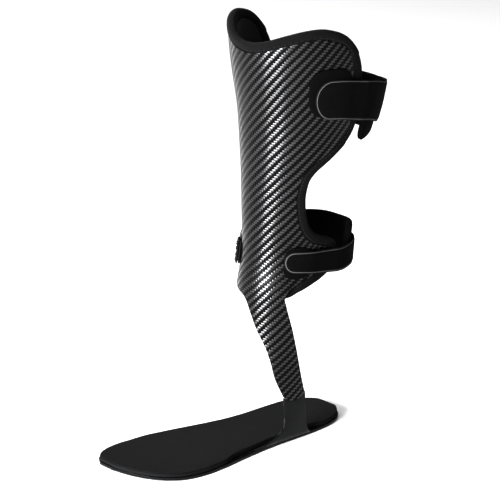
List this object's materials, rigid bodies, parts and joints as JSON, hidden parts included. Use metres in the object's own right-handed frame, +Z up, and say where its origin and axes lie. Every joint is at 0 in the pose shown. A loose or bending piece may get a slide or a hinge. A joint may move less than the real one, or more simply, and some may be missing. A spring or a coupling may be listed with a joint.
{
  "type": "ankle foot orthosis",
  "caption": "Left ankle foot orthosis: carbon shin shell on a lateral strut that joins a thin carbon footplate, bound foam liner, and hook-and-loop calf and ankle straps on pivoting rings.",
  "frame": {"origin": "on the underside of the footplate, below the ankle", "axes": "+Z up, -Y towards the toes, +X lateral (the wearer's left)"},
  "size_m": [0.1332, 0.2785, 0.3752],
  "materials": {
    "carbon": "glossy clear-coated carbon twill",
    "foam": "matte foam",
    "insole_fabric": "brushed black cover",
    "liner_fabric": "smooth knitted face on foam",
    "binding_tape": "matte folded tape",
    "hook_plastic": "moulded hooks",
    "loop_fabric": "brushed loop pile",
    "strap_fabric": "short velour pile",
    "pad_fabric": "soft brushed pad",
    "webbing": "woven webbing",
    "black_steel": "black satin wire",
    "rivet_steel": "satin rivet"
  },
  "bodies": {
    "foot": {"footplate": "carbon", "insole_foam": "foam", "insole_cover": "insole_fabric"},
    "shin": {"tibial_shell": "carbon", "liner_foam": "liner_fabric", "liner_binding": "binding_tape", "liner_hook_top_medial": "hook_plastic", "liner_hook_top_lateral": "hook_plastic", "liner_hook_middle_medial": "hook_plastic", "liner_hook_middle_lateral": "hook_plastic", "liner_hook_low_medial": "hook_plastic", "liner_hook_low_lateral": "hook_plastic", "upper_landing_patch": "loop_fabric", "upper_ring_tab": "webbing", "upper_rivet_top": "rivet_steel", "upper_rivet_bottom": "rivet_steel", "lower_landing_patch": "loop_fabric", "lower_ring_tab": "webbing", "lower_rivet_top": "rivet_steel", "lower_rivet_bottom": "rivet_steel"},
    "upper_loop": {"upper_ring": "black_steel"},
    "upper_strap": {"upper_strap_band": "strap_fabric", "upper_pad": "pad_fabric"},
    "upper_tongue": {"upper_strap_tip": "strap_fabric"},
    "lower_loop": {"lower_ring": "black_steel"},
    "lower_strap": {"lower_strap_band": "strap_fabric", "lower_pad": "pad_fabric"},
    "lower_tongue": {"lower_strap_tip": "strap_fabric"}
  },
  "joints": [
    {"name": "ankle_flex", "type": "hinge", "parent": "foot", "child": "shin", "pos_m": [0, -0.0155, 0.052], "axis": [1, 0, 0], "range_deg": [-4, 8], "stiffness_Nm_per_rad": 170},
    {"name": "upper_ring_pivot", "type": "hinge", "parent": "shin", "child": "upper_loop", "pos_m": [-0.05309, 0.00332, 0.315], "axis": [-0.1349, -0.0168, 0.9907], "range_deg": [0, 20]},
    {"name": "upper_strap_swing", "type": "hinge", "parent": "upper_loop", "child": "upper_strap", "pos_m": [-0.05508, 0.01928, 0.315], "axis": [-0.1349, -0.0168, 0.9907], "range_deg": [0, 50]},
    {"name": "upper_tip_peel", "type": "hinge", "parent": "upper_strap", "child": "upper_tongue", "pos_m": [0.06839, 0.03747, 0.3073], "axis": [0.1739, 0.0192, 0.9846], "range_deg": [0, 90]},
    {"name": "lower_ring_pivot", "type": "hinge", "parent": "shin", "child": "lower_loop", "pos_m": [-0.0339, -0.01563, 0.1625], "axis": [0.0738, 0.0184, 0.9971], "range_deg": [0, 20]},
    {"name": "lower_strap_swing", "type": "hinge", "parent": "lower_loop", "child": "lower_strap", "pos_m": [-0.03755, -0.001, 0.1625], "axis": [0.0738, 0.0184, 0.9971], "range_deg": [0, 50]},
    {"name": "lower_tip_peel", "type": "hinge", "parent": "lower_strap", "child": "lower_tongue", "pos_m": [0.04276, 0.03167, 0.1595], "axis": [-0.0025, -0.0005, 1], "range_deg": [0, 90]}
  ],
  "couplings": [
    {"joint": "upper_ring_pivot", "follows": "upper_strap_swing", "ratio": 0.4},
    {"joint": "upper_tip_peel", "follows": "upper_strap_swing", "ratio": 1.8},
    {"joint": "lower_ring_pivot", "follows": "lower_strap_swing", "ratio": 0.4},
    {"joint": "lower_tip_peel", "follows": "lower_strap_swing", "ratio": 1.8}
  ]
}
